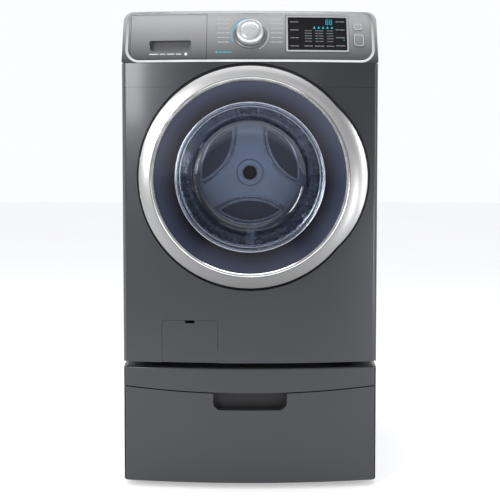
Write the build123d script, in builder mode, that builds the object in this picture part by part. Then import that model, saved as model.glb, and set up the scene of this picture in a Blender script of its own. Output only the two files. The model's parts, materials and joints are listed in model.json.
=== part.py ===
"""Front load washing machine on its drawer pedestal.

Millimetres, +Z up, the front faces -Y, the origin is on the floor under the middle.
"""
from build123d import *
from math import cos, radians, sin, sqrt, tan
import os

os.makedirs("parts", exist_ok=True)

# ---- overall size ----
WIDTH = 686
HALF_WIDTH = WIDTH / 2
HEIGHT = 1290
FRONT_Y = -372          # foremost line of the bowed front
BOW_RADIUS = 1976       # plan radius of the bowed front
REAR_Y = 384            # outer face of the rear panel
BACK_Y = 400            # rearmost point, the dished access cover
SHEET = 1.5             # steel sheet
EDGE_ROUND = 14         # rounded vertical edges of the front
FIT = 0.5               # gap between pieces that slide or swing past each other

# ---- heights ----
PEDESTAL_BOTTOM = 15
PEDESTAL_TOP = 329
WASHER_BOTTOM = 343
SEAM_Z = 1081           # seam between the front panel and the upper front panel
CONSOLE_Z = 1145
TOP_COVER_Z = 1264

# ---- door and drum axis ----
AXLE_Z = 841
DOOR_RADIUS = 293
GRIP_RADIUS = 245       # radius of the bulge that forms the grip
GRIP_SHIFT = 66
GRIP_BLEND = 80
DOOR_FRONT_Y = -400
DOOR_BACK_Y = -346
RECESS_Y = -338         # flat floor of the recess round the door
RECESS_GAP = 10
PORT_RADIUS = 232       # opening in the front panel

# ---- control console ----
CONSOLE_TILT = 24
CONSOLE_LENGTH = 157    # up the slope
CONSOLE_BACK_Y = -290   # back of the console at its bottom edge
TRIM_WIDTH = 7
DIAL_SLOPE = 86         # height of the dial up the slope


def bow_y(x, front_y=FRONT_Y):
    """Y of the bowed front at a distance x from the middle."""
    return front_y + BOW_RADIUS - sqrt(BOW_RADIUS**2 - x**2)


def bowed_plan(half_width, front_y, back_y):
    """Plan outline with a bowed front edge and a straight back edge."""
    side_y = bow_y(half_width, front_y)
    with BuildSketch() as plan:
        with BuildLine():
            ThreePointArc((-half_width, side_y), (0, front_y), (half_width, side_y))
            Polyline((half_width, side_y), (half_width, back_y), (-half_width, back_y), (-half_width, side_y))
        make_face()
    return plan.sketch


def bowed_sheet(half_width, front_y, thickness):
    """Plan outline of a bowed sheet of even thickness."""
    side_y = bow_y(half_width, front_y)
    with BuildSketch() as plan:
        with BuildLine():
            ThreePointArc((-half_width, side_y), (0, front_y), (half_width, side_y))
            Line((half_width, side_y), (half_width, side_y + thickness))
            ThreePointArc(
                (half_width, side_y + thickness), (0, front_y + thickness), (-half_width, side_y + thickness)
            )
            Line((-half_width, side_y + thickness), (-half_width, side_y))
        make_face()
    return plan.sketch


def front_plane(y, x=0, z=0):
    """Plane that faces the front, with its X to the right and its Y up."""
    return Plane((x, y, z), x_dir=(1, 0, 0), z_dir=(0, -1, 0))


def side_plane(x):
    """Plane that faces right, with its X to the back and its Y up."""
    return Plane((x, 0, 0), x_dir=(0, 1, 0), z_dir=(1, 0, 0))


AXLE = Axis((0, 0, AXLE_Z), (0, 1, 0))
AXLE_PROFILE = Plane((0, 0, AXLE_Z), x_dir=(0, 1, 0), z_dir=(1, 0, 0))


def profile(*points):
    """Closed straight-sided profile through (distance back, radius) points."""
    with BuildSketch() as section:
        with BuildLine():
            Polyline(*points, close=True)
        make_face()
    return section.sketch


def door_outline(grow=0):
    """Door outline: a circle with the grip bulge on the right."""
    with BuildSketch() as outline:
        Circle(DOOR_RADIUS + grow)
        with Locations(Location((GRIP_SHIFT, 0, 0), (0, 0, 180))):
            Circle(GRIP_RADIUS + grow)
        fillet(outline.vertices(), GRIP_BLEND)
    return outline.sketch


def slope_point(height):
    """Y and Z of a point this far up the slope of the console's foremost line."""
    tilt = radians(CONSOLE_TILT)
    return FRONT_Y + height * sin(tilt), CONSOLE_Z + height * cos(tilt)


def slope_plane(x, height, out=0):
    """Plane tangent to the tilted console face at x, this far up the slope."""
    tilt = radians(CONSOLE_TILT)
    lean = x / BOW_RADIUS
    across = Vector(cos(lean), sin(lean), 0)
    up = Vector(0, sin(tilt), cos(tilt))
    normal = across.cross(up).normalized()
    y, z = slope_point(height)
    origin = Vector(x, y + bow_y(x) - FRONT_Y, z) + normal * out
    return Plane(origin, x_dir=across, z_dir=normal)


def finish(piece, name):
    """Label a finished piece and write its STEP file."""
    piece.part.label = name
    export_step(piece.part, f"parts/{name}.step")


SLOPE = (0, sin(radians(CONSOLE_TILT)), cos(radians(CONSOLE_TILT)))

# ---- side panels: flat steel with a shallow pressed field and a rear flange ----
SIDE_FRONT_Y = -317.5
PRESS_DEPTH = 3
SLOPE_RUN = (TOP_COVER_Z - CONSOLE_Z) * tan(radians(CONSOLE_TILT))
side_outline = profile(
    (SIDE_FRONT_Y, WASHER_BOTTOM),
    (REAR_Y - 2, WASHER_BOTTOM),
    (REAR_Y - 2, TOP_COVER_Z - FIT),
    (CONSOLE_BACK_Y + SLOPE_RUN + FIT, TOP_COVER_Z - FIT),
    (CONSOLE_BACK_Y + FIT, CONSOLE_Z - FIT),
    (SIDE_FRONT_Y, CONSOLE_Z - FIT),
)

with BuildPart() as side_panel_right:
    with BuildSketch(side_plane(HALF_WIDTH)):
        add(side_outline)
    extrude(amount=-SHEET)
    with BuildSketch(side_plane(HALF_WIDTH)):
        with Locations((35, 790)):
            RectangleRounded(540, 740, 60)
    extrude(amount=-PRESS_DEPTH - SHEET)
    with BuildSketch(side_plane(HALF_WIDTH)):
        with Locations((35, 790)):
            RectangleRounded(540 - 2 * SHEET, 740 - 2 * SHEET, 60 - SHEET)
    extrude(amount=-PRESS_DEPTH, mode=Mode.SUBTRACT)
    with Locations((HALF_WIDTH - 10, REAR_Y - 2 - SHEET / 2, 803)):
        Box(20, SHEET, 918)
finish(side_panel_right, "side_panel_right")

with BuildPart() as side_panel_left:
    mirror(side_panel_right.part, about=Plane.YZ)
finish(side_panel_left, "side_panel_left")


# ---- rear panel, its access cover, transit bolt caps and screws ----
ACCESS_RADIUS = 170
CAP_SPREAD_X = 235
CAP_SPREAD_Z = 215
VALVE_X = 250
VALVE_Z = 1190
VALVE_PITCH = 60
DRAIN_X = 130
DRAIN_Z = 1180
CORD_X = -270
CORD_Z = 1190
transit_spots = GridLocations(2 * CAP_SPREAD_X, 2 * CAP_SPREAD_Z, 2, 2).local_locations

with BuildPart() as rear_panel:
    with BuildSketch(front_plane(REAR_Y)):
        with Locations((0, (WASHER_BOTTOM + TOP_COVER_Z) / 2)):
            Rectangle(WIDTH - 2 * SHEET, TOP_COVER_Z - WASHER_BOTTOM - 1)
    extrude(amount=SHEET)
    with BuildSketch(front_plane(REAR_Y)):
        with Locations((0, 560), (0, 520), (0, 480)):
            SlotOverall(440, 18)
    extrude(amount=SHEET + PRESS_DEPTH)
    with BuildSketch(front_plane(REAR_Y)):
        with Locations((0, 560), (0, 520), (0, 480)):
            SlotOverall(440 - 2 * SHEET, 18 - 2 * SHEET)
    extrude(amount=PRESS_DEPTH, mode=Mode.SUBTRACT)
    with BuildSketch(front_plane(REAR_Y, z=AXLE_Z)):
        Circle(ACCESS_RADIUS)
        with Locations(*transit_spots):
            Circle(12)
    extrude(amount=SHEET, mode=Mode.SUBTRACT)
    with BuildSketch(front_plane(REAR_Y)):
        with Locations((VALVE_X, VALVE_Z), (VALVE_X - VALVE_PITCH, VALVE_Z)):
            Circle(15)
        with Locations((DRAIN_X, DRAIN_Z)):
            Circle(17)
        with Locations((CORD_X, CORD_Z)):
            Circle(11)
    extrude(amount=SHEET, mode=Mode.SUBTRACT)
finish(rear_panel, "rear_panel")

with BuildPart() as rear_access_cover:
    with BuildSketch(AXLE_PROFILE):
        add(profile(
            (BACK_Y, 0),
            (BACK_Y, 136),
            (REAR_Y + SHEET, 159),
            (REAR_Y + SHEET, 185),
            (REAR_Y, 185),
            (REAR_Y, 158),
            (BACK_Y - SHEET, 135),
            (BACK_Y - SHEET, 0),
        ))
    revolve(axis=AXLE)
finish(rear_access_cover, "rear_access_cover")

with BuildPart() as transit_caps:
    with BuildSketch(front_plane(REAR_Y, z=AXLE_Z)):
        with Locations(*transit_spots):
            Circle(17)
    extrude(amount=-4)
    with BuildSketch(front_plane(REAR_Y, z=AXLE_Z)):
        with Locations(*transit_spots):
            Circle(11.9)
    extrude(amount=12)
    fillet(transit_caps.faces().sort_by(Axis.Y)[-1].edges(), 1.5)
finish(transit_caps, "transit_caps")

rear_screw_spots = [(x, z) for x in (-332, 332) for z in (400, 640, 880, 1120)]
with BuildPart() as rear_screws:
    with BuildSketch(front_plane(REAR_Y)):
        with Locations(*rear_screw_spots):
            Circle(5)
    extrude(amount=-3)
    with BuildSketch(front_plane(REAR_Y + 3)):
        with Locations(*rear_screw_spots):
            Rectangle(6, 1)
            Rectangle(1, 6)
    extrude(amount=1.5, mode=Mode.SUBTRACT)
finish(rear_screws, "rear_screws")

# ---- top cover: folded sheet ----
COVER_FRONT_Y = -225
COVER_ROUND = 6
COVER_RISE = HEIGHT - TOP_COVER_Z
with BuildPart() as top_cover_hollow:
    with BuildSketch(Plane.XY.offset(TOP_COVER_Z)):
        with Locations((0, (COVER_FRONT_Y + REAR_Y) / 2)):
            Rectangle(WIDTH - 2 * SHEET, REAR_Y - COVER_FRONT_Y - 2 * SHEET)
    extrude(amount=COVER_RISE - SHEET)
    fillet(top_cover_hollow.edges().group_by(Axis.Z)[-1], COVER_ROUND - SHEET)

with BuildPart() as top_cover:
    with BuildSketch(Plane.XY.offset(TOP_COVER_Z)):
        with Locations((0, (COVER_FRONT_Y + REAR_Y) / 2)):
            Rectangle(WIDTH, REAR_Y - COVER_FRONT_Y)
    extrude(amount=COVER_RISE)
    fillet(top_cover.edges().group_by(Axis.Z)[-1], COVER_ROUND)
    add(top_cover_hollow.part, mode=Mode.SUBTRACT)
finish(top_cover, "top_cover")

# ---- pressed front: bowed sheet with returns and a flat recess round the door ----
RETURN_Y = -318         # rear edge of the folded returns
HATCH_LEFT = -237
HATCH_RIGHT = -86
HATCH_TOP = 458
LATCH_X = 277
recess_shape = door_outline(RECESS_GAP)
recess_back_shape = door_outline(RECESS_GAP + SHEET)


def pressed_front(low, high):
    """Folded and pressed front sheet between two heights, with the door recess in it."""
    with BuildPart() as hollow:
        with BuildSketch(Plane.XY.offset(low + SHEET)):
            add(bowed_plan(HALF_WIDTH - SHEET, FRONT_Y + SHEET, RETURN_Y))
        extrude(amount=high - low - 2 * SHEET)
        fillet(hollow.edges().filter_by(Axis.Z).group_by(Axis.Y)[0], EDGE_ROUND - SHEET)
        with BuildSketch(front_plane(RECESS_Y + SHEET, z=AXLE_Z)):
            add(recess_back_shape)
        extrude(amount=60, mode=Mode.SUBTRACT)
    with BuildPart() as sheet:
        with BuildSketch(Plane.XY.offset(low)):
            add(bowed_plan(HALF_WIDTH, FRONT_Y, RETURN_Y))
        extrude(amount=high - low)
        fillet(sheet.edges().filter_by(Axis.Z).group_by(Axis.Y)[0], EDGE_ROUND)
        add(hollow.part, mode=Mode.SUBTRACT)
        with BuildSketch(front_plane(RECESS_Y, z=AXLE_Z)):
            add(recess_shape)
            Circle(PORT_RADIUS, mode=Mode.SUBTRACT)
        extrude(amount=60, mode=Mode.SUBTRACT)
        with BuildSketch(front_plane(RETURN_Y, z=AXLE_Z)):
            Circle(PORT_RADIUS)
        extrude(amount=90, mode=Mode.SUBTRACT)
    return sheet.part


front_blank = pressed_front(WASHER_BOTTOM, SEAM_Z - FIT)
upper_blank = pressed_front(SEAM_Z, CONSOLE_Z - FIT)
HATCH_MIDDLE = (HATCH_LEFT + HATCH_RIGHT) / 2

with BuildPart() as front_panel:
    add(front_blank)
    with BuildSketch(front_plane(RETURN_Y)):
        with Locations((HATCH_MIDDLE, (WASHER_BOTTOM + HATCH_TOP) / 2 - 10)):
            RectangleRounded(HATCH_RIGHT - HATCH_LEFT, HATCH_TOP - WASHER_BOTTOM + 20, 12)
    extrude(amount=60, mode=Mode.SUBTRACT)
    with BuildSketch(front_plane(RETURN_Y, z=AXLE_Z)):
        with Locations((LATCH_X + 3, 0)):
            SlotOverall(44, 22, rotation=90)
    extrude(amount=60, mode=Mode.SUBTRACT)
finish(front_panel, "front_panel")

with BuildPart() as upper_front_panel:
    add(upper_blank)
finish(upper_front_panel, "upper_front_panel")

# ---- base pan and levelling feet ----
FOOT_X = 285
FOOT_PITCH_Y = 585
FOOT_MIDDLE_Y = 37.5
foot_spots = GridLocations(2 * FOOT_X, FOOT_PITCH_Y, 2, 2).local_locations

with BuildPart() as base_pan:
    with BuildSketch(Plane((0, 26, WASHER_BOTTOM + 2))):
        Rectangle(676, 708)
    extrude(amount=30)
    with BuildSketch(Plane((0, 26, WASHER_BOTTOM + 4))):
        Rectangle(672, 704)
    extrude(amount=28, mode=Mode.SUBTRACT)
    with BuildSketch(Plane((0, FOOT_MIDDLE_Y, WASHER_BOTTOM + 2))):
        with Locations(*foot_spots):
            Circle(5.5)
    extrude(amount=2, mode=Mode.SUBTRACT)
finish(base_pan, "base_pan")


with BuildPart() as leveling_feet:
    for floor_z, stem_height, nut_z in (
        (0, 40, PEDESTAL_BOTTOM + SHEET),
        (PEDESTAL_TOP, 44, WASHER_BOTTOM + 4),
    ):
        with BuildSketch(Plane((0, FOOT_MIDDLE_Y, floor_z))):
            with Locations(*foot_spots):
                Circle(21)
        extrude(amount=12)
        with BuildSketch(Plane((0, FOOT_MIDDLE_Y, floor_z))):
            with Locations(*foot_spots):
                Circle(4.9)
        extrude(amount=stem_height)
        with BuildSketch(Plane((0, FOOT_MIDDLE_Y, nut_z))):
            with Locations(*foot_spots):
                RegularPolygon(9, 6)
                Circle(4.95, mode=Mode.SUBTRACT)
        extrude(amount=6)
finish(leveling_feet, "leveling_feet")


# ---- control console ----
console_rise = CONSOLE_LENGTH * cos(radians(CONSOLE_TILT))


def slope_base(rise):
    """Level plane this far above the console's bottom edge, moved back along the slope."""
    return Plane((0, rise * tan(radians(CONSOLE_TILT)), CONSOLE_Z + rise))


def front_rectangle(left, right, low, high, low_round, high_round):
    """Front-view rectangle with one radius for its lower and one for its upper corners."""
    with BuildSketch() as shape:
        with Locations(((left + right) / 2, (low + high) / 2)):
            Rectangle(right - left, high - low)
        fillet(shape.vertices().group_by(Axis.Y)[0], low_round)
        fillet(shape.vertices().sort_by(Axis.Y)[-2:], high_round)
    return shape.sketch


def face_piece(outline, out, back):
    """Solid that follows the console face from `out` before it to `back` behind it."""
    with BuildPart() as piece:
        with BuildSketch(slope_base(-40)):
            add(bowed_sheet(HALF_WIDTH + 20, FRONT_Y - out, out + back))
        extrude(amount=CONSOLE_LENGTH + 80, dir=SLOPE)
        with BuildSketch(front_plane(-200)):
            add(outline)
        extrude(amount=280, mode=Mode.INTERSECT)
    return piece.part


def above(slope_height):
    """Height above the floor of a point this far up the console's slope."""
    return CONSOLE_Z + slope_height * cos(radians(CONSOLE_TILT))


FRAME_LOW = CONSOLE_Z + 1
FRAME_HIGH = CONSOLE_Z + console_rise - 2
FRAME_SIDE = 334
SEAM_X = -115
FACE_SINK = 1.5
trim_outside = front_rectangle(-FRAME_SIDE, FRAME_SIDE, FRAME_LOW, FRAME_HIGH, 38, 24)
trim_inside = front_rectangle(
    -FRAME_SIDE + TRIM_WIDTH, FRAME_SIDE - TRIM_WIDTH, FRAME_LOW + 6, FRAME_HIGH - 5, 32, 19
)
console_end = front_rectangle(
    -HALF_WIDTH, HALF_WIDTH, CONSOLE_Z, CONSOLE_Z + console_rise, 6, 26
)
console_inside = front_rectangle(
    -HALF_WIDTH + 3, HALF_WIDTH - 3, CONSOLE_Z + 3, CONSOLE_Z + console_rise - 4, 3, 23
)
drawer_gap = front_rectangle(-322, SEAM_X, FRAME_LOW + 8, FRAME_HIGH - 7, 1, 1) & trim_inside
drawer_face = front_rectangle(-321, SEAM_X - 1, FRAME_LOW + 9, FRAME_HIGH - 8, 1, 1) & trim_inside
display_hole = front_rectangle(95, 266, above(31), above(143), 4, 4)
bezel_outside = front_rectangle(96, 265, above(32), above(142), 4, 4)
bezel_inside = front_rectangle(101, 260, above(37), above(137), 2, 2)
window_shape = front_rectangle(101.2, 259.8, above(37.2), above(136.8), 2, 2)
trim_seat = face_piece(trim_outside, 30, 1.5)
drawer_cut = face_piece(drawer_gap, 30, 40)
display_cut = face_piece(display_hole, 30, 14)
power_plane = slope_plane(291, 111, -FACE_SINK)
start_plane = slope_plane(293, 69, -FACE_SINK)
dial_plane = slope_plane(0, DIAL_SLOPE, -FACE_SINK)

with BuildPart() as console_hollow:
    with BuildSketch(slope_base(-10)):
        add(bowed_plan(HALF_WIDTH + 10, FRONT_Y + 5, CONSOLE_BACK_Y + 1))
    extrude(amount=CONSOLE_LENGTH + 20, dir=SLOPE)
    with BuildSketch(front_plane(-200)):
        add(console_inside)
    extrude(amount=280, mode=Mode.INTERSECT)

with BuildPart() as control_console:
    with BuildSketch(slope_base(-10)):
        add(bowed_plan(HALF_WIDTH + 10, FRONT_Y, CONSOLE_BACK_Y))
    extrude(amount=CONSOLE_LENGTH + 20, dir=SLOPE)
    with BuildSketch(front_plane(-200)):
        add(console_end)
    extrude(amount=280, mode=Mode.INTERSECT)
    add(console_hollow.part, mode=Mode.SUBTRACT)
    add(trim_seat, mode=Mode.SUBTRACT)
    add(drawer_cut, mode=Mode.SUBTRACT)
    add(display_cut, mode=Mode.SUBTRACT)
    with BuildSketch(dial_plane.offset(2)):
        Circle(40)
    extrude(amount=-14, mode=Mode.SUBTRACT)
    with BuildSketch(power_plane.offset(2)):
        RectangleRounded(27, 23, 7)
    extrude(amount=-14, mode=Mode.SUBTRACT)
    with BuildSketch(start_plane.offset(2)):
        RectangleRounded(31, 41, 8)
    extrude(amount=-14, mode=Mode.SUBTRACT)
finish(control_console, "control_console")

with BuildPart() as console_trim:
    add(face_piece(trim_outside - trim_inside, 2.5, 1.5))
finish(console_trim, "console_trim")

with BuildPart() as display_bezel:
    add(face_piece(bezel_outside - bezel_inside, 1, 6))
finish(display_bezel, "display_bezel")

with BuildPart() as display_window:
    add(face_piece(window_shape, 0, 3))
finish(display_window, "display_window")

display_board = face_piece(bezel_outside, -7, 9)
with BuildPart() as control_boards:
    add(display_board)
    with BuildSketch(slope_plane(60, 80, -34)):
        Rectangle(330, 90)
    extrude(amount=-1.6)
    with BuildSketch(slope_plane(60, 80, -34)):
        with Locations((-110, 10), (60, -10), (130, 15)):
            Rectangle(34, 26)
    extrude(amount=9)
    with BuildSketch(dial_plane.offset(-32)):
        Rectangle(30, 30)
    extrude(amount=20)
    with BuildSketch(dial_plane.offset(-12)):
        Circle(3)
    extrude(amount=10)
finish(control_boards, "control_boards")


# ---- programme dial ----
dial_section = Plane(dial_plane.origin, x_dir=dial_plane.x_dir, z_dir=-dial_plane.y_dir)
dial_axis = Axis(dial_plane.origin, dial_plane.z_dir)

with BuildPart() as dial_bezel:
    with BuildSketch(dial_section):
        add(profile((38, -6), (39.5, -6), (39.5, 0.2), (44.6, 0.2), (44, 3), (40.5, 4.2), (38, 3)))
    revolve(axis=dial_axis)
finish(dial_bezel, "dial_bezel")

with BuildPart() as selector_knob:
    with BuildSketch(dial_section):
        add(profile(
            (0, -4), (36, -4), (37.2, 0), (37.2, 8), (35.5, 16), (32.5, 18.5), (27.5, 17.5), (26.2, 16.5),
            (25.7, 18.5), (21, 20.2), (12, 21.3), (0, 21.6),
        ))
    revolve(axis=dial_axis)
    with BuildSketch(dial_plane.offset(-4)):
        Circle(3.05)
    extrude(amount=6.5, mode=Mode.SUBTRACT)
finish(selector_knob, "selector_knob")


def push_button(plane, width, height, corner, name):
    """Cap that stands proud of the console face on a square stem."""
    with BuildPart() as button:
        with BuildSketch(plane.offset(-11)):
            RectangleRounded(width, height, corner)
        extrude(amount=13.5)
        fillet(button.faces().sort_by(Axis(plane.origin, plane.z_dir))[-1].edges(), 1)
    finish(button, name)


push_button(power_plane, 26, 22, 6.5, "power_button")
push_button(start_plane, 30, 40, 7.5, "start_button")

# ---- detergent drawer ----
TRAY_LEFT = -300
TRAY_RIGHT = -125
TRAY_LOW = 1163
TRAY_HIGH = 1235
TRAY_BACK_Y = -112
POCKET_DEPTH = 24
with BuildSketch() as pocket_shape:
    with BuildLine():
        Polyline(
            (-271, above(67)), (-156, above(67)), (-160, above(35)), (-266, above(35)), close=True
        )
    make_face()
    fillet(pocket_shape.vertices(), 6)
with BuildSketch() as pocket_wall_shape:
    add(pocket_shape.sketch)
    offset(amount=2)
pocket_wall = face_piece(pocket_wall_shape.sketch, -3, POCKET_DEPTH + 2)
pocket_cut = face_piece(pocket_shape.sketch, 30, POCKET_DEPTH)
front_slab = face_piece(drawer_face, -1.5, 14)
tray_front_cut = face_piece(front_rectangle(-330, -100, 1140, 1290, 1, 1), 90, POCKET_DEPTH + 2)

with BuildPart() as dispenser_front:
    add(front_slab)
    add(pocket_wall)
    add(pocket_cut, mode=Mode.SUBTRACT)
finish(dispenser_front, "dispenser_front")

with BuildPart() as dispenser_tray:
    with BuildSketch(Plane.XY.offset(TRAY_LOW)):
        with Locations(((TRAY_LEFT + TRAY_RIGHT) / 2, (TRAY_BACK_Y - 372) / 2)):
            Rectangle(TRAY_RIGHT - TRAY_LEFT, TRAY_BACK_Y + 372)
    extrude(amount=TRAY_HIGH - TRAY_LOW)
    with BuildSketch(Plane.XY.offset(TRAY_LOW + 2.5)):
        with Locations((TRAY_LEFT + 30, -200), (TRAY_LEFT + 88, -200), (TRAY_LEFT + 146, -200)):
            Rectangle(54, 170)
    extrude(amount=TRAY_HIGH, mode=Mode.SUBTRACT)
    add(tray_front_cut, mode=Mode.SUBTRACT)
finish(dispenser_tray, "dispenser_tray")

with BuildPart() as dispenser_housing:
    with BuildSketch(Plane.XY.offset(TRAY_LOW - 6)):
        with Locations(((TRAY_LEFT + TRAY_RIGHT) / 2, -158)):
            Rectangle(TRAY_RIGHT - TRAY_LEFT + 12, 130)
    extrude(amount=TRAY_HIGH - TRAY_LOW + 16)
    with BuildSketch(Plane.XY.offset(TRAY_LOW - 3)):
        with Locations(((TRAY_LEFT + TRAY_RIGHT) / 2, -164)):
            Rectangle(TRAY_RIGHT - TRAY_LEFT + 6, 130)
    extrude(amount=TRAY_HIGH - TRAY_LOW + 10, mode=Mode.SUBTRACT)
finish(dispenser_housing, "dispenser_housing")

# ---- door ----
HINGE_X = -286
HINGE_Y = -368
KNUCKLE_RADIUS = 6.5
PIN_RADIUS = 3.5
ring_outline = door_outline()
ring_cavity_outline = door_outline(-4)
frame_outline = door_outline(-7)
frame_seat_outline = door_outline(-6.5)

with BuildPart() as door_ring:
    with BuildSketch(front_plane(DOOR_BACK_Y, z=AXLE_Z)):
        add(ring_outline)
    extrude(amount=70)
    with BuildSketch(AXLE_PROFILE):
        with BuildLine():
            ThreePointArc((DOOR_FRONT_Y, 264), (-394, 288), (-372, 322))
            Polyline((-372, 322), (-340, 322), (-340, 264), (DOOR_FRONT_Y, 264))
        make_face()
    revolve(axis=AXLE, mode=Mode.INTERSECT)
    with BuildSketch(front_plane(DOOR_BACK_Y, z=AXLE_Z)):
        add(ring_cavity_outline)
        Circle(268, mode=Mode.SUBTRACT)
    extrude(amount=26, mode=Mode.SUBTRACT)
    with BuildSketch(front_plane(DOOR_BACK_Y, z=AXLE_Z)):
        add(frame_seat_outline)
    extrude(amount=3.2, mode=Mode.SUBTRACT)
    with Locations((HINGE_X - 8, -360, AXLE_Z)):
        Box(38, 32, 132, mode=Mode.SUBTRACT)
finish(door_ring, "door_ring")

with BuildPart() as door_inner_trim:
    with BuildSketch(AXLE_PROFILE):
        add(profile((-384, 254), (-397, 254), (-399.8, 256.5), (-400, 260), (-398.5, 263.8), (-384, 263.8)))
    revolve(axis=AXLE)
finish(door_inner_trim, "door_inner_trim")

with BuildPart() as door_dish:
    with BuildSketch(AXLE_PROFILE):
        with BuildLine():
            ThreePointArc((-390, 253.7), (-374, 228), (-356, 199.5))
            Line((-356, 199.5), (-353, 199.5))
            ThreePointArc((-353, 199.5), (-370, 228), (-384, 253.7))
            Line((-384, 253.7), (-390, 253.7))
        make_face()
    revolve(axis=AXLE)
finish(door_dish, "door_dish")

with BuildPart() as door_glass:
    with BuildSketch(AXLE_PROFILE):
        with BuildLine():
            Polyline((-247, 0), (-247, 140))
            ThreePointArc((-247, 140), (-251, 154), (-262, 163))
            Polyline((-262, 163), (-352.5, 193), (-352.5, 215), (-349.5, 215), (-349.5, 198.5), (-258, 168.5))
            ThreePointArc((-258, 168.5), (-245.5, 158), (-242, 142))
            Polyline((-242, 142), (-242, 0), (-247, 0))
        make_face()
    revolve(axis=AXLE)
finish(door_glass, "door_glass")

with BuildPart() as door_back_frame:
    with BuildSketch(front_plane(DOOR_BACK_Y, z=AXLE_Z)):
        add(frame_outline)
        Circle(200, mode=Mode.SUBTRACT)
        with Locations((LATCH_X - 0.5, 0)):
            Rectangle(14, 20, mode=Mode.SUBTRACT)
        with Locations((HINGE_X - 5, 0)):
            Rectangle(30, 132, mode=Mode.SUBTRACT)
    extrude(amount=3)
finish(door_back_frame, "door_back_frame")

with BuildPart() as door_hinge_arm:
    with BuildSketch(Plane.XY.offset(AXLE_Z - 24)):
        with Locations((HINGE_X, HINGE_Y)):
            Circle(KNUCKLE_RADIUS)
        with Locations((HINGE_X + 9, HINGE_Y)):
            Rectangle(14, 5)
        with Locations((HINGE_X + 13, HINGE_Y + 9)):
            Rectangle(6, 20)
        with Locations((HINGE_X, HINGE_Y)):
            Circle(PIN_RADIUS + 0.05, mode=Mode.SUBTRACT)
    extrude(amount=48)
finish(door_hinge_arm, "door_hinge_arm")

with BuildPart() as hinge_bracket:
    with BuildSketch(Plane.XY.offset(AXLE_Z - 54)):
        with Locations((HINGE_X, HINGE_Y)):
            Circle(KNUCKLE_RADIUS)
        with Locations((HINGE_X, HINGE_Y + 14)):
            Rectangle(6, 28)
    extrude(amount=108)
    with Locations((HINGE_X + 4, HINGE_Y + 7, AXLE_Z)):
        Box(34, 40, 50, mode=Mode.SUBTRACT)
    with Locations((HINGE_X + 7, RECESS_Y - 1.6, AXLE_Z)):
        Box(20, 2.8, 108)
    with BuildSketch(Plane((HINGE_X, HINGE_Y, AXLE_Z - 58))):
        Circle(PIN_RADIUS)
    extrude(amount=116)
finish(hinge_bracket, "hinge_bracket")

with BuildPart() as door_latch_hook:
    with BuildSketch(Plane.XY.offset(AXLE_Z - 8)):
        add(profile(
            (LATCH_X - 4, -356), (LATCH_X + 3, -356), (LATCH_X + 3, -334), (LATCH_X + 8, -330),
            (LATCH_X + 3, -318), (LATCH_X - 4, -320),
        ))
    extrude(amount=16)
    with BuildSketch(Plane((LATCH_X, -352, AXLE_Z - 9.5))):
        Circle(2.5)
    extrude(amount=19)
finish(door_latch_hook, "door_latch_hook")

with BuildPart() as door_lock:
    with Locations((LATCH_X + 3, -319, AXLE_Z)):
        Box(44, 34, 80)
    with Locations((LATCH_X + 3, -324, AXLE_Z)):
        Box(26, 26, 26, mode=Mode.SUBTRACT)
finish(door_lock, "door_lock")

with BuildPart() as door_gasket:
    with BuildSketch(AXLE_PROFILE):
        add(profile(
            (-343, 202), (-343, 231.5), (-316, 231.5), (-312, 216), (-300, 216), (-296, 232), (-282, 232),
            (-276, 215), (-276, 210), (-280, 210), (-285, 228), (-293, 228), (-297, 212), (-315, 212),
            (-319, 227.5), (-339, 227.5), (-339, 206), (-334, 202),
        ))
    revolve(axis=AXLE)
finish(door_gasket, "door_gasket")

# ---- drum ----
DRUM_RADIUS = 275.5
DRUM_FRONT_Y = -241
DRUM_BACK_Y = 206
HUB_RADIUS = 27.6
LEAF_SPREAD = 254       # distance of the second circle of a leaf from the hub
BEARING_RADIUS = 36
SHAFT_RADIUS = 17.5
LEAF_ANGLES = (-90, 30, 150)

with BuildPart() as drum_shell:
    with BuildSketch(AXLE_PROFILE):
        add(profile(
            (DRUM_FRONT_Y, 190), (DRUM_FRONT_Y, DRUM_RADIUS), (DRUM_BACK_Y - 0.5, DRUM_RADIUS),
            (DRUM_BACK_Y - 0.5, 274), (DRUM_FRONT_Y + 1.5, 274), (DRUM_FRONT_Y + 1.5, 191.5),
            (DRUM_FRONT_Y + 10, 191.5), (DRUM_FRONT_Y + 10, 190),
        ))
    revolve(axis=AXLE)
finish(drum_shell, "drum_shell")

with BuildPart() as drum_back:
    with BuildSketch(front_plane(DRUM_BACK_Y + 1.5, z=AXLE_Z)):
        Circle(DRUM_RADIUS)
    extrude(amount=2)
    with BuildSketch(front_plane(DRUM_BACK_Y, z=AXLE_Z)):
        Circle(44)
    extrude(amount=8, taper=20)
    for angle in LEAF_ANGLES:
        away = Vector(LEAF_SPREAD, 0, 0).rotate(Axis.Z, angle)
        with BuildSketch(front_plane(DRUM_BACK_Y, z=AXLE_Z)):
            Circle(168)
            with Locations(away):
                Circle(177, mode=Mode.INTERSECT)
        extrude(amount=6, taper=45)
    with BuildSketch(front_plane(DRUM_BACK_Y - 7, z=AXLE_Z)):
        Circle(HUB_RADIUS)
    extrude(amount=5, taper=15)
finish(drum_back, "drum_back")

with BuildPart() as drum_baffles:
    for angle in LEAF_ANGLES:
        radial = Vector(1, 0, 0).rotate(Axis.Z, angle)
        start = Plane((0, 0, AXLE_Z), x_dir=(radial.X, 0, radial.Y), z_dir=(0, -1, 0)).offset(-190)
        with BuildSketch(start):
            add(profile((270.5, -40), (270.5, 40), (240, 30), (215, 14), (210, 0), (215, -14), (240, -30)))
        extrude(amount=400)
finish(drum_baffles, "drum_baffles")

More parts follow.
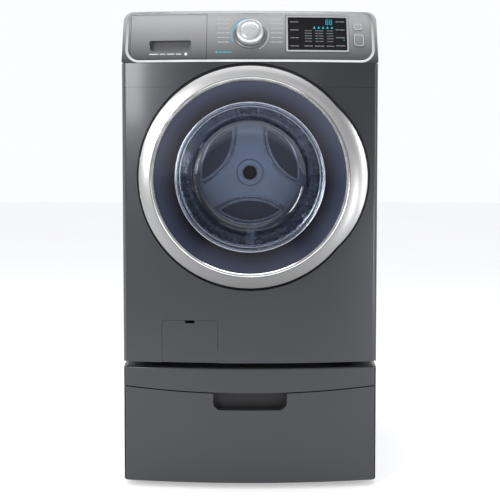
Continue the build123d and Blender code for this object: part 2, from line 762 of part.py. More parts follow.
with BuildPart() as drum_spider:
    with BuildSketch(front_plane(DRUM_BACK_Y + 2, z=AXLE_Z)):
        Circle(48)
        with PolarLocations(130, 3, start_angle=90):
            Rectangle(268, 44)
    extrude(amount=-20)
    with BuildSketch(front_plane(DRUM_BACK_Y + 2, z=AXLE_Z)):
        Circle(SHAFT_RADIUS)
    extrude(amount=-132)
finish(drum_spider, "drum_spider")

PULLEY_Y = 310
PULLEY_RADIUS = 150
PULLEY_WIDTH = 20
with BuildPart() as drum_pulley:
    with BuildSketch(front_plane(PULLEY_Y, z=AXLE_Z)):
        Circle(PULLEY_RADIUS)
        Circle(SHAFT_RADIUS, mode=Mode.SUBTRACT)
        with PolarLocations(92, 6):
            Circle(34, mode=Mode.SUBTRACT)
    extrude(amount=-PULLEY_WIDTH)
finish(drum_pulley, "drum_pulley")

# ---- tub, its bearings, weight and motor ----
TUB_RADIUS = 300
MOTOR_X = 100
MOTOR_Z = 465
MOTOR_PULLEY_RADIUS = 12.5

with BuildPart() as tub_front:
    with BuildSketch(AXLE_PROFILE):
        add(profile(
            (-268, 203), (-268, 210), (-262, 214), (-262, TUB_RADIUS), (-74, TUB_RADIUS), (-74, 308),
            (-62, 308), (-62, 292), (-256, 292), (-256, 203),
        ))
    revolve(axis=AXLE)
finish(tub_front, "tub_front")

with BuildPart() as tub_rear:
    with BuildSketch(AXLE_PROFILE):
        add(profile(
            (-61.5, 292), (-61.5, 308), (-50, 308), (-50, TUB_RADIUS), (244, TUB_RADIUS), (244, 60),
            (300, 50), (300, BEARING_RADIUS), (236, BEARING_RADIUS), (236, 292),
        ))
    revolve(axis=AXLE)
    with Locations((MOTOR_X - 40, 205, 530), (MOTOR_X - 40, 285 - 60, 530)):
        Box(16, 12, 50)
    with Locations((MOTOR_X + 40, 205, 532), (MOTOR_X + 40, 285 - 60, 532)):
        Box(16, 12, 70)
    with BuildSketch(front_plane(300, MOTOR_X, MOTOR_Z)):
        Circle(62)
    extrude(amount=130, mode=Mode.SUBTRACT)
finish(tub_rear, "tub_rear")

with BuildPart() as shaft_bearings:
    for bearing_y in (240, 282):
        with BuildSketch(front_plane(bearing_y, z=AXLE_Z)):
            Circle(BEARING_RADIUS)
            Circle(SHAFT_RADIUS + 0.05, mode=Mode.SUBTRACT)
        extrude(amount=-16)
finish(shaft_bearings, "shaft_bearings")

with BuildPart() as counterweight:
    with BuildSketch(front_plane(-269, z=AXLE_Z)):
        Circle(296)
        Circle(246, mode=Mode.SUBTRACT)
        with Locations((0, -200)):
            Rectangle(620, 460, mode=Mode.SUBTRACT)
    extrude(amount=26)
finish(counterweight, "counterweight")

with BuildPart() as motor_housing:
    with BuildSketch(front_plane(180, MOTOR_X, MOTOR_Z)):
        Circle(62)
    extrude(amount=-115)
    fillet(motor_housing.edges(), 8)
    with BuildSketch(front_plane(175, MOTOR_X, MOTOR_Z)):
        Circle(10)
    extrude(amount=-130, mode=Mode.SUBTRACT)
finish(motor_housing, "motor_housing")

with BuildPart() as motor_pulley:
    with BuildSketch(front_plane(200, MOTOR_X, MOTOR_Z)):
        Circle(9)
    extrude(amount=-110)
    with BuildSketch(front_plane(PULLEY_Y, MOTOR_X, MOTOR_Z)):
        Circle(MOTOR_PULLEY_RADIUS)
    extrude(amount=-PULLEY_WIDTH)
finish(motor_pulley, "motor_pulley")


def belt_loop(grow):
    """Outline of a loop round both pulleys, this far outside them."""
    with BuildSketch() as loop:
        with Locations((0, AXLE_Z)):
            Circle(PULLEY_RADIUS + grow)
        with Locations((MOTOR_X, MOTOR_Z)):
            Circle(MOTOR_PULLEY_RADIUS + grow)
        make_hull()
    return loop.sketch


belt_outside = belt_loop(4.3)
belt_inside = belt_loop(0.3)
with BuildPart() as drive_belt:
    with BuildSketch(front_plane(PULLEY_Y + 2)):
        add(belt_outside)
        add(belt_inside, mode=Mode.SUBTRACT)
    extrude(amount=-PULLEY_WIDTH + 4)
finish(drive_belt, "drive_belt")

# ---- suspension ----
DAMPER_X = 190
SPRING_X = 215
DAMPER_Y = 75
damper_spots = GridLocations(2 * DAMPER_X, 120, 2, 2).local_locations
with BuildPart() as damper_cylinders:
    with BuildSketch(Plane((0, DAMPER_Y, WASHER_BOTTOM + 4.2))):
        with Locations(*damper_spots):
            Circle(15)
    extrude(amount=140)
    with BuildSketch(Plane((0, DAMPER_Y, WASHER_BOTTOM + 20))):
        with Locations(*damper_spots):
            Circle(12)
    extrude(amount=140, mode=Mode.SUBTRACT)
finish(damper_cylinders, "damper_cylinders")

with BuildPart() as damper_rods:
    with BuildSketch(Plane((0, DAMPER_Y, WASHER_BOTTOM + 60))):
        with Locations(*damper_spots):
            Circle(6)
    extrude(amount=230)
    with BuildSketch(front_plane(150, z=AXLE_Z)):
        Circle(TUB_RADIUS)
    extrude(amount=300, mode=Mode.SUBTRACT)
finish(damper_rods, "damper_rods")

with BuildPart() as spring_crossbar:
    with Locations((0, 40, 1248)):
        Box(682, 34, 16)
        Box(679, 30, 12, mode=Mode.SUBTRACT)
finish(spring_crossbar, "spring_crossbar")

SPRING_LOW = 1068
SPRING_HIGH = 1239.5
with BuildPart() as tub_springs:
    for side in (-1, 1):
        with BuildLine(Plane((side * SPRING_X, 40, SPRING_LOW + 2))) as coil:
            Helix(pitch=12, height=SPRING_HIGH - SPRING_LOW - 4, radius=14)
        with BuildSketch(Plane(coil.line @ 0, z_dir=coil.line % 0)):
            Circle(1.8)
        sweep()
finish(tub_springs, "tub_springs")

# ---- water: valves, pump, filter and outlet ----
valve_spots = [(VALVE_X, VALVE_Z), (VALVE_X - VALVE_PITCH, VALVE_Z)]
with BuildPart() as inlet_valves:
    with BuildSketch(front_plane(REAR_Y + 14)):
        with Locations(*valve_spots):
            Circle(13.1)
    extrude(amount=12)
    with BuildSketch(front_plane(REAR_Y + 2)):
        with Locations(*valve_spots):
            Circle(20)
    extrude(amount=2)
    with BuildSketch(front_plane(REAR_Y)):
        with Locations(*valve_spots):
            Circle(14.5)
    extrude(amount=6)
    with BuildSketch(front_plane(REAR_Y - 4)):
        with Locations(*valve_spots):
            Rectangle(36, 44)
    extrude(amount=34)
    with BuildSketch(front_plane(REAR_Y + 14)):
        with Locations(*valve_spots):
            Circle(6)
    extrude(amount=40, mode=Mode.SUBTRACT)
finish(inlet_valves, "inlet_valves")

with BuildPart() as drain_outlet:
    with BuildSketch(front_plane(REAR_Y + 16, DRAIN_X, DRAIN_Z)):
        Circle(11)
    extrude(amount=12)
    with BuildSketch(front_plane(REAR_Y + 4, DRAIN_X, DRAIN_Z)):
        Circle(24)
    extrude(amount=4)
    with BuildSketch(front_plane(REAR_Y, DRAIN_X, DRAIN_Z)):
        Circle(10)
    extrude(amount=28)
    with BuildSketch(front_plane(REAR_Y + 16, DRAIN_X, DRAIN_Z)):
        Circle(8)
    extrude(amount=44, mode=Mode.SUBTRACT)
finish(drain_outlet, "drain_outlet")

with BuildPart() as cord_gland:
    with BuildSketch(front_plane(REAR_Y + 8, CORD_X, CORD_Z)):
        RegularPolygon(14, 6)
    extrude(amount=7.7)
    with BuildSketch(front_plane(REAR_Y + 8, CORD_X, CORD_Z)):
        Circle(10.8)
    extrude(amount=22)
    with BuildSketch(front_plane(REAR_Y + 8, CORD_X, CORD_Z)):
        Circle(5)
    extrude(amount=22, mode=Mode.SUBTRACT)
finish(cord_gland, "cord_gland")

FILTER_Z = 408
with BuildPart() as drain_pump:
    with BuildSketch(front_plane(-306, HATCH_MIDDLE, FILTER_Z)):
        Circle(44)
    extrude(amount=-90)
    with BuildSketch(front_plane(-216, HATCH_MIDDLE, FILTER_Z)):
        Circle(32)
    extrude(amount=-80)
    with BuildSketch(front_plane(-306, HATCH_MIDDLE, FILTER_Z)):
        Circle(37)
    extrude(amount=-60, mode=Mode.SUBTRACT)
finish(drain_pump, "drain_pump")

with BuildPart() as filter_cap:
    with BuildSketch(front_plane(-264, HATCH_MIDDLE, FILTER_Z)):
        Circle(36.4)
    extrude(amount=48)
    with BuildSketch(front_plane(-312, HATCH_MIDDLE, FILTER_Z)):
        RectangleRounded(60, 12, 5)
    extrude(amount=20)
    chamfer(filter_cap.faces().sort_by(Axis.Y)[0].edges(), 2)
finish(filter_cap, "filter_cap")

HATCH_PIVOT_Y = -356
HATCH_PIVOT_Z = 348
hatch_blank = front_rectangle(
    HATCH_LEFT + 0.8, HATCH_RIGHT - 0.8, WASHER_BOTTOM + 1, HATCH_TOP - 0.8, 1, 11
)
with BuildPart() as filter_hatch:
    with BuildSketch(Plane.XY.offset(WASHER_BOTTOM - 20)):
        add(bowed_sheet(HALF_WIDTH, FRONT_Y + 0.3, 3))
    extrude(amount=HATCH_TOP)
    with BuildSketch(front_plane(-300)):
        add(hatch_blank)
    extrude(amount=100, mode=Mode.INTERSECT)
    with BuildSketch(front_plane(-300)):
        with Locations((HATCH_MIDDLE, HATCH_TOP - 4)):
            Rectangle(26, 8)
    extrude(amount=100, mode=Mode.SUBTRACT)
    for lug_x in (HATCH_LEFT + 30, HATCH_RIGHT - 30):
        lug_front = bow_y(lug_x) + 2
        with Locations((lug_x, (lug_front + HATCH_PIVOT_Y) / 2, HATCH_PIVOT_Z)):
            Box(14, HATCH_PIVOT_Y - lug_front, 5)
        with BuildSketch(side_plane(lug_x - 10)):
            with Locations((HATCH_PIVOT_Y, HATCH_PIVOT_Z)):
                Circle(2.5)
        extrude(amount=20)
finish(filter_hatch, "filter_hatch")

# ---- pedestal ----
RAIL_SIDE_Z = 278
RAIL_MIDDLE_Z = 262
GRIP_HALF = 99
GRIP_LOW_Z = 215
BOX_HALF = 305
BOX_BACK_Y = 280

with BuildPart() as pedestal_case:
    with BuildSketch(Plane((0, (RETURN_Y + REAR_Y) / 2, PEDESTAL_BOTTOM))):
        Rectangle(WIDTH, REAR_Y - RETURN_Y)
    extrude(amount=PEDESTAL_TOP - PEDESTAL_BOTTOM)
    with BuildSketch(Plane((0, (RETURN_Y + REAR_Y) / 2 - 2, PEDESTAL_BOTTOM + SHEET))):
        Rectangle(WIDTH - 2 * SHEET, REAR_Y - RETURN_Y)
    extrude(amount=PEDESTAL_TOP - PEDESTAL_BOTTOM - 2 * SHEET, mode=Mode.SUBTRACT)
    with BuildSketch(Plane((0, FOOT_MIDDLE_Y, PEDESTAL_BOTTOM))):
        with Locations(*foot_spots):
            Circle(5.5)
    extrude(amount=SHEET, mode=Mode.SUBTRACT)
finish(pedestal_case, "pedestal_case")


def below_curve(drop):
    """Front view of everything below the rail's curved edge, lowered by this much."""
    with BuildSketch() as shape:
        with BuildLine():
            ThreePointArc(
                (-HALF_WIDTH - 1, RAIL_SIDE_Z - drop), (0, RAIL_MIDDLE_Z - drop),
                (HALF_WIDTH + 1, RAIL_SIDE_Z - drop),
            )
            Polyline(
                (HALF_WIDTH + 1, RAIL_SIDE_Z - drop), (HALF_WIDTH + 1, -5), (-HALF_WIDTH - 1, -5),
                (-HALF_WIDTH - 1, RAIL_SIDE_Z - drop),
            )
        make_face()
    return shape.sketch


def above_curve():
    """Front view of everything above the rail's curved edge."""
    with BuildSketch() as shape:
        with Locations((0, 300)):
            Rectangle(WIDTH + 2, 600)
        add(below_curve(0), mode=Mode.SUBTRACT)
    return shape.sketch


rail_view = above_curve()
drawer_view = below_curve(3)
drawer_inner_view = below_curve(5)
with BuildSketch() as grip_shape:
    with Locations((0, (GRIP_LOW_Z + RAIL_SIDE_Z) / 2)):
        Rectangle(2 * GRIP_HALF, RAIL_SIDE_Z - GRIP_LOW_Z)
    fillet(grip_shape.vertices().group_by(Axis.Y)[0], 22)
with BuildSketch() as grip_wall_shape:
    add(grip_shape.sketch)
    offset(amount=2.5)
GRIP_BACK_Y = -334

with BuildPart() as pedestal_top_rail:
    with BuildSketch(Plane.XY.offset(RAIL_MIDDLE_Z)):
        add(bowed_plan(HALF_WIDTH, FRONT_Y, RETURN_Y - 0.5))
    extrude(amount=PEDESTAL_TOP - RAIL_MIDDLE_Z)
    fillet(pedestal_top_rail.edges().filter_by(Axis.Z).group_by(Axis.Y)[0], EDGE_ROUND)
    fillet(pedestal_top_rail.faces().sort_by(Axis.Z)[-1].edges().sort_by(Axis.Y)[:3], 4)
    with BuildSketch(Plane.XY.offset(RAIL_MIDDLE_Z)):
        add(bowed_plan(HALF_WIDTH - 2, FRONT_Y + 2, RETURN_Y - 2.5))
    extrude(amount=PEDESTAL_TOP - RAIL_MIDDLE_Z - 5, mode=Mode.SUBTRACT)
    with BuildSketch(front_plane(RETURN_Y)):
        add(rail_view)
    extrude(amount=100, mode=Mode.INTERSECT)
finish(pedestal_top_rail, "pedestal_top_rail")

with BuildPart() as drawer_hollow:
    with BuildSketch(Plane.XY.offset(PEDESTAL_BOTTOM + 4)):
        add(bowed_plan(HALF_WIDTH - 2, FRONT_Y + 2, RETURN_Y))
    extrude(amount=RAIL_SIDE_Z)
    with BuildSketch(front_plane(RETURN_Y + 1)):
        add(drawer_inner_view)
    extrude(amount=100, mode=Mode.INTERSECT)
    with BuildSketch(front_plane(GRIP_BACK_Y + 2.5)):
        add(grip_wall_shape.sketch)
    extrude(amount=100, mode=Mode.SUBTRACT)

with BuildPart() as drawer_front:
    with BuildSketch(Plane.XY.offset(PEDESTAL_BOTTOM + 1)):
        add(bowed_plan(HALF_WIDTH, FRONT_Y, RETURN_Y - 0.5))
    extrude(amount=RAIL_SIDE_Z)
    fillet(drawer_front.edges().filter_by(Axis.Z).group_by(Axis.Y)[0], EDGE_ROUND)
    fillet(drawer_front.faces().sort_by(Axis.Z)[0].edges().sort_by(Axis.Y)[:3], 3)
    with BuildSketch(front_plane(RETURN_Y)):
        add(drawer_view)
    extrude(amount=100, mode=Mode.INTERSECT)
    add(drawer_hollow.part, mode=Mode.SUBTRACT)
    with BuildSketch(front_plane(GRIP_BACK_Y)):
        add(grip_shape.sketch)
    extrude(amount=100, mode=Mode.SUBTRACT)
finish(drawer_front, "drawer_front")

with BuildPart() as drawer_box:
    with BuildSketch(Plane((0, (RETURN_Y + BOX_BACK_Y) / 2, 42))):
        Rectangle(2 * BOX_HALF, BOX_BACK_Y - RETURN_Y)
    extrude(amount=170)
    with BuildSketch(Plane((0, (RETURN_Y + BOX_BACK_Y) / 2, 44))):
        Rectangle(2 * BOX_HALF - 4, BOX_BACK_Y - RETURN_Y - 4)
    extrude(amount=170, mode=Mode.SUBTRACT)
    for side in (-1, 1):
        with Locations((side * (BOX_HALF + 6), -15, 130)):
            Box(12, 580, 20)
finish(drawer_box, "drawer_box")

with BuildPart() as drawer_rails:
    for side in (-1, 1):
        with Locations((side * 329.5, -5, 130)):
            Box(24, 600, 44)
        with Locations((side * 323.5, -5, 130)):
            Box(24, 604, 34, mode=Mode.SUBTRACT)
finish(drawer_rails, "drawer_rails")
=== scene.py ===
"""Looks of the front load washing machine and its pedestal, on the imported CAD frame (metres)."""
import json
import math

import bmesh
import bpy
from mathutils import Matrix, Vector
from mathutils.bvhtree import BVHTree


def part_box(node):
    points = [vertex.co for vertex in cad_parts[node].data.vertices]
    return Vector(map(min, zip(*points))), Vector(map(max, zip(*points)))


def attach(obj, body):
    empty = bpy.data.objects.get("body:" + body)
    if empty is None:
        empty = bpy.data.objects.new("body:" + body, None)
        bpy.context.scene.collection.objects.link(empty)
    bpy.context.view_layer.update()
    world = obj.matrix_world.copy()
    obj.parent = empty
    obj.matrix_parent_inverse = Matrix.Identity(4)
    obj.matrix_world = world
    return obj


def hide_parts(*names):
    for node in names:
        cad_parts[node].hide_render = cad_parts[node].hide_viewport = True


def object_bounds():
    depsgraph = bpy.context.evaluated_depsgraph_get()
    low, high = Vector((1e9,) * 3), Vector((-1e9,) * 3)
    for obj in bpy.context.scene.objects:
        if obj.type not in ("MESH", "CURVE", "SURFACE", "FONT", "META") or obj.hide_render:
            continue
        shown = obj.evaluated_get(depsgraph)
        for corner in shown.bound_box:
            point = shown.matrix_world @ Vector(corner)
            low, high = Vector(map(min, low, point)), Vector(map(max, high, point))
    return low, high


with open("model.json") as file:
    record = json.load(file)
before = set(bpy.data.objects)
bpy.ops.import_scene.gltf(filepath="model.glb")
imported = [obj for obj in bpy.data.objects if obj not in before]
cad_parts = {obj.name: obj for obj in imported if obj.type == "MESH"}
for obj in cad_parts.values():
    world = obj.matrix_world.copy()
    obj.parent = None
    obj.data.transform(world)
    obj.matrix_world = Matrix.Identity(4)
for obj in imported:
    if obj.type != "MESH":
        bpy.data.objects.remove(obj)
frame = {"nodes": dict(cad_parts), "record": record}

cad_low, cad_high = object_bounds()
nodes = frame["nodes"]
scene = bpy.context.scene

# ---- camera ----
ring_low, ring_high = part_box("door_ring")
door_z = (ring_low.z + ring_high.z) / 2
camera_data = bpy.data.cameras.new("camera")
camera_data.lens = 70
camera_data.shift_y = -0.1
camera = bpy.data.objects.new("camera", camera_data)
scene.collection.objects.link(camera)
camera.location = (0, cad_low.y - 2.55, door_z + 0.073)
camera.rotation_euler = (math.radians(90 - 2.95), 0, 0)
scene.camera = camera


# ---- lights and floor ----
def area_light(name, place, target, size, size_y, power, tint=(1, 1, 1)):
    """Rectangular soft light aimed at a point."""
    data = bpy.data.lights.new(name, "AREA")
    data.shape = "RECTANGLE"
    data.size = size
    data.size_y = size_y
    data.energy = power
    data.color = tint
    light = bpy.data.objects.new(name, data)
    light.location = place
    light.rotation_euler = (Vector(target) - Vector(place)).to_track_quat("-Z", "Y").to_euler()
    scene.collection.objects.link(light)


area_light("left_box", (-1.5, -2.5, 1.55), (-0.1, -0.3, 0.95), 0.6, 1.0, 30)
area_light("right_low", (1.8, -2.3, 0.35), (0, -0.3, 0.9), 0.6, 0.6, 8)
area_light("console_light", (0, -1.8, 2.85), (0, -0.33, 1.2), 2.6, 0.8, 6)
area_light("left_strip", (-2.5, -0.9, 1.0), (0, -0.3, 0.8), 0.4, 2.2, 22)
area_light("right_strip", (2.5, -1.3, 1.0), (0, -0.3, 0.6), 0.4, 2.2, 18)
area_light("overhead", (0, -0.1, 3.2), (0, -0.1, 0.9), 2.6, 1.2, 40)
area_light("front_fill", (0.4, -4.6, 1.8), (0, 0, 0.7), 1.8, 1.4, 8)


def studio_world():
    """White studio behind the object, greyer in front of it."""
    world = bpy.data.worlds.new("studio")
    world.use_nodes = True
    tree = world.node_tree
    direction = tree.nodes.new("ShaderNodeTexCoord")
    parts = tree.nodes.new("ShaderNodeSeparateXYZ")
    strength = tree.nodes.new("ShaderNodeMapRange")
    strength.inputs["From Min"].default_value = -0.3
    strength.inputs["From Max"].default_value = 0.45
    strength.inputs["To Min"].default_value = 0.24
    strength.inputs["To Max"].default_value = 1.0
    tree.links.new(direction.outputs["Generated"], parts.inputs["Vector"])
    tree.links.new(parts.outputs["Y"], strength.inputs["Value"])
    tree.links.new(strength.outputs["Result"], tree.nodes["Background"].inputs["Strength"])
    tree.nodes["Background"].inputs["Color"].default_value = (0.98, 0.985, 1.0, 1)
    return world


scene.world = studio_world()
scene.view_settings.view_transform = "Standard"


# ---- materials ----
def new_material(name, color, roughness, metallic=0.0, **sockets):
    """Principled material with its plain values on the shader's own sockets."""
    material = bpy.data.materials.new(name)
    material.use_nodes = True
    shader = material.node_tree.nodes["Principled BSDF"]
    shader.inputs["Base Color"].default_value = (*color, 1)
    shader.inputs["Roughness"].default_value = roughness
    shader.inputs["Metallic"].default_value = metallic
    for socket, value in sockets.items():
        shader.inputs[socket.replace("_", " ")].default_value = value
    return material, material.node_tree, shader


def object_place(tree, stretch=(1, 1, 1), centre=(0, 0, 0)):
    """Object coordinates, moved to a centre and stretched."""
    place = tree.nodes.new("ShaderNodeTexCoord")
    mapping = tree.nodes.new("ShaderNodeMapping")
    mapping.vector_type = "POINT"
    mapping.inputs["Location"].default_value = tuple(-c * s for c, s in zip(centre, stretch))
    mapping.inputs["Scale"].default_value = stretch
    tree.links.new(place.outputs["Object"], mapping.inputs["Vector"])
    return mapping.outputs["Vector"]


def noise(tree, vector, scale, detail=3.0):
    """Noise factor at a scale per metre."""
    node = tree.nodes.new("ShaderNodeTexNoise")
    node.inputs["Scale"].default_value = scale
    node.inputs["Detail"].default_value = detail
    tree.links.new(vector, node.inputs["Vector"])
    return node.outputs["Fac"]


def blend_colors(tree, factor, first, second, low=0.35, high=0.65):
    """Colour ramp between two colours."""
    ramp = tree.nodes.new("ShaderNodeValToRGB")
    ramp.color_ramp.elements[0].position = low
    ramp.color_ramp.elements[0].color = (*first, 1)
    ramp.color_ramp.elements[1].position = high
    ramp.color_ramp.elements[1].color = (*second, 1)
    tree.links.new(factor, ramp.inputs["Fac"])
    return ramp.outputs["Color"]


def vary(tree, factor, low, high):
    """Maps a 0 to 1 factor to a range."""
    node = tree.nodes.new("ShaderNodeMapRange")
    node.inputs["To Min"].default_value = low
    node.inputs["To Max"].default_value = high
    tree.links.new(factor, node.inputs["Value"])
    return node.outputs["Result"]


def add_bump(tree, shader, height, strength, distance=0.0004):
    """Fine relief from a height factor."""
    bump = tree.nodes.new("ShaderNodeBump")
    bump.inputs["Strength"].default_value = strength
    bump.inputs["Distance"].default_value = distance
    tree.links.new(height, bump.inputs["Height"])
    tree.links.new(bump.outputs["Normal"], shader.inputs["Normal"])


def multiply(tree, first, second):
    """Product of two colours."""
    mix = tree.nodes.new("ShaderNodeMix")
    mix.data_type = "RGBA"
    mix.blend_type = "MULTIPLY"
    mix.inputs["Factor"].default_value = 1
    tree.links.new(first, mix.inputs["A"])
    tree.links.new(second, mix.inputs["B"])
    return mix.outputs["Result"]


def shade(color, factor):
    """Colour made lighter or darker."""
    return tuple(min(1, c * factor) for c in color)


def metallic_paint(name, color, roughness):
    """Metallic paint: fine flakes, slow waviness and a clear coat."""
    material, tree, shader = new_material(name, color, roughness, 0.55, Coat_Weight=0.35, Coat_Roughness=0.12)
    vector = object_place(tree)
    flakes = noise(tree, vector, 2600, 1)
    tint = blend_colors(tree, flakes, shade(color, 0.88), shade(color, 1.14))
    tree.links.new(tint, shader.inputs["Base Color"])
    slow = noise(tree, vector, 9, 2)
    tree.links.new(vary(tree, slow, roughness - 0.03, roughness + 0.05), shader.inputs["Roughness"])
    add_bump(tree, shader, noise(tree, vector, 340, 2), 0.04, 0.0002)
    return material


def brushed_metal(name, color, roughness, stretch, metallic=1.0):
    """Brushed metal with its streaks drawn out along the directions of small stretch."""
    material, tree, shader = new_material(name, color, roughness, metallic)
    streaks = noise(tree, object_place(tree, stretch), 1, 4)
    tint = blend_colors(tree, streaks, shade(color, 0.88), shade(color, 1.08), 0.3, 0.7)
    tree.links.new(tint, shader.inputs["Base Color"])
    tree.links.new(vary(tree, streaks, roughness - 0.07, roughness + 0.09), shader.inputs["Roughness"])
    add_bump(tree, shader, streaks, 0.12, 0.0002)
    return material


def spun_metal(name, color, roughness, rings, metallic=1.0, painted_shade_tone=1.0):
    """Metal brushed in circles round the door's axis; painted shade makes its bottom painted_shade_tone times
    its colour.
    """
    material, tree, shader = new_material(name, color, roughness, metallic)
    vector = object_place(tree, (1, 0, 1), (0, 0, door_z))
    length = tree.nodes.new("ShaderNodeVectorMath")
    length.operation = "LENGTH"
    tree.links.new(vector, length.inputs[0])
    spread = tree.nodes.new("ShaderNodeCombineXYZ")
    tree.links.new(length.outputs["Value"], spread.inputs["X"])
    streaks = noise(tree, spread.outputs["Vector"], rings, 5)
    streaked = blend_colors(tree, streaks, shade(color, 0.9), shade(color, 1.06), 0.3, 0.7)
    # painted shade: the colour darkens from the top of the door ring towards its bottom
    if painted_shade_tone < 1:
        height = tree.nodes.new("ShaderNodeSeparateXYZ")
        tree.links.new(vector, height.inputs["Vector"])
        rise = tree.nodes.new("ShaderNodeMapRange")
        rise.inputs["From Min"].default_value = -RING_REACH
        rise.inputs["From Max"].default_value = RING_REACH
        tree.links.new(height.outputs["Z"], rise.inputs["Value"])
        painted_shade_ramp = blend_colors(tree, rise.outputs["Result"], (painted_shade_tone,) * 3, (1, 1, 1), 0, 1)
        streaked = multiply(tree, streaked, painted_shade_ramp)
    tree.links.new(streaked, shader.inputs["Base Color"])
    tree.links.new(vary(tree, streaks, roughness - 0.06, roughness + 0.08), shader.inputs["Roughness"])
    add_bump(tree, shader, streaks, 0.1, 0.0002)
    return material


def moulded(name, color, roughness, grain=900.0, relief=0.12, **sockets):
    """Moulded plastic or rubber with a fine grain."""
    material, tree, shader = new_material(name, color, roughness, 0.0, **sockets)
    vector = object_place(tree)
    tree.links.new(
        blend_colors(tree, noise(tree, vector, 30, 3), shade(color, 0.9), shade(color, 1.1)),
        shader.inputs["Base Color"],
    )
    grains = noise(tree, vector, grain, 2)
    tree.links.new(vary(tree, grains, roughness - 0.04, roughness + 0.06), shader.inputs["Roughness"])
    add_bump(tree, shader, grains, relief)
    return material


def lit_print(name, color, glow):
    """Printed or lit mark with a slight unevenness; it glows, and on printed marks that are no lamp the glow
    is painted light.
    """
    material, tree, shader = new_material(name, color, 0.5)
    factor = noise(tree, object_place(tree), 400, 1)
    tint = blend_colors(tree, factor, shade(color, 0.92), shade(color, 1.05))
    tree.links.new(tint, shader.inputs["Base Color"])
    tree.links.new(tint, shader.inputs["Emission Color"])
    shader.inputs["Emission Strength"].default_value = glow
    return material


def console_paint():
    """Silver paint of the console with painted light: its colour runs from near black at its bottom to light
    at its top, for how light falls on the tilted face.
    """
    material, tree, shader = new_material(
        "console_silver", (0.36, 0.365, 0.375), 0.34, 0.35, Coat_Weight=0.3, Coat_Roughness=0.15
    )
    low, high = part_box("control_console")
    vector = object_place(tree, (1, 1, 1), (0, 0, low.z))
    parts = tree.nodes.new("ShaderNodeSeparateXYZ")
    tree.links.new(vector, parts.inputs["Vector"])
    rise = tree.nodes.new("ShaderNodeMapRange")
    rise.inputs["From Max"].default_value = high.z - low.z
    tree.links.new(parts.outputs["Z"], rise.inputs["Value"])
    # painted light: the colour goes from near black at the bottom to light silver at the top
    painted_light_base = blend_colors(tree, rise.outputs["Result"], (0.035, 0.036, 0.038), (0.5, 0.505, 0.515), 0.0, 1.0)
    flakes = blend_colors(
        tree, noise(tree, object_place(tree), 2400, 1), (0.9, 0.9, 0.9), (1, 1, 1)
    )
    tree.links.new(multiply(tree, painted_light_base, flakes), shader.inputs["Base Color"])
    add_bump(tree, shader, noise(tree, object_place(tree), 700, 2), 0.03, 0.0002)
    return material


RING_REACH = 0.29        # height of the door ring above and below its middle
GRAPHITE = (0.04, 0.0413, 0.046)
paint = metallic_paint("graphite_paint", GRAPHITE, 0.32)
console_silver = console_paint()
chrome = brushed_metal("bright_chrome", (0.8, 0.81, 0.82), 0.14, (20, 20, 20))
# the door ring's silver carries painted shade: its bottom is darkened to 0.23 of its colour
ring_silver = spun_metal("ring_silver", (0.74, 0.74, 0.745), 0.3, 700, 0.85, 0.23)
bezel_silver = brushed_metal("bezel_silver", (0.58, 0.59, 0.61), 0.28, (12, 12, 900))
satin = brushed_metal("satin_silver", (0.6, 0.605, 0.615), 0.4, (14, 14, 14), 0.9)
# painted shade: a darker copy of satin_silver for the dial's bezel, for the shade round the knob
shaded_satin = brushed_metal("shaded_satin", (0.26, 0.262, 0.27), 0.36, (14, 14, 14), 0.9)
stainless = brushed_metal("drum_stainless", (0.32, 0.34, 0.39), 0.26, (60, 4, 60))
drum_end = spun_metal("drum_end_steel", (0.34, 0.37, 0.44), 0.24, 260)
# painted highlight: a much lighter copy of the drum's steel for the leaf beads
bead_highlight_steel = brushed_metal("bead_highlight_steel", (0.85, 0.88, 0.95), 0.24, (60, 60, 60))
# painted shade: a dark copy of the drum's steel for the panels inside the pressed leaves
leaf_shade_steel = spun_metal("leaf_shade_steel", (0.1, 0.105, 0.125), 0.3, 260)
rim_steel = brushed_metal("rim_steel", (0.5, 0.54, 0.62), 0.2, (60, 60, 60))
zinc = brushed_metal("zinc_steel", (0.52, 0.53, 0.55), 0.42, (30, 30, 300))
cast_alloy = moulded("cast_alloy", (0.42, 0.42, 0.43), 0.5, 500, 0.4, Metallic=0.8)
# painted shade: near black moulding laid in the drawer grip where shade falls
grip_painted_shade = moulded("grip_painted_shade", (0.012, 0.012, 0.014), 0.5, 500, 0.1)
dark_plastic = moulded("dark_plastic", (0.03, 0.031, 0.034), 0.45)
light_plastic = moulded("light_plastic", (0.5, 0.51, 0.52), 0.45)
grey_rubber = moulded("grey_rubber", (0.035, 0.037, 0.043), 0.6, 700, 0.2)
black_rubber = moulded("black_rubber", (0.012, 0.012, 0.013), 0.62, 700, 0.25)
concrete = moulded("concrete", (0.4, 0.39, 0.37), 0.85, 300, 0.7)
board_green = moulded("board_green", (0.02, 0.1, 0.045), 0.4, 1200, 0.1)
# the glow of white_print and pale_print, and of teal_print on the console's marks, is painted light
white_print = lit_print("white_print", (0.56, 0.57, 0.58), 0.1)
pale_print = lit_print("pale_print", (0.44, 0.445, 0.455), 0.08)
grey_print = lit_print("grey_print", (0.16, 0.165, 0.175), 0.25)
teal_print = lit_print("teal_print", (0.0, 0.3, 0.42), 0.6)
dark_gloss = moulded("dark_window", (0.006, 0.006, 0.008), 0.16, 60, 0.01, Specular_IOR_Level=0.15)


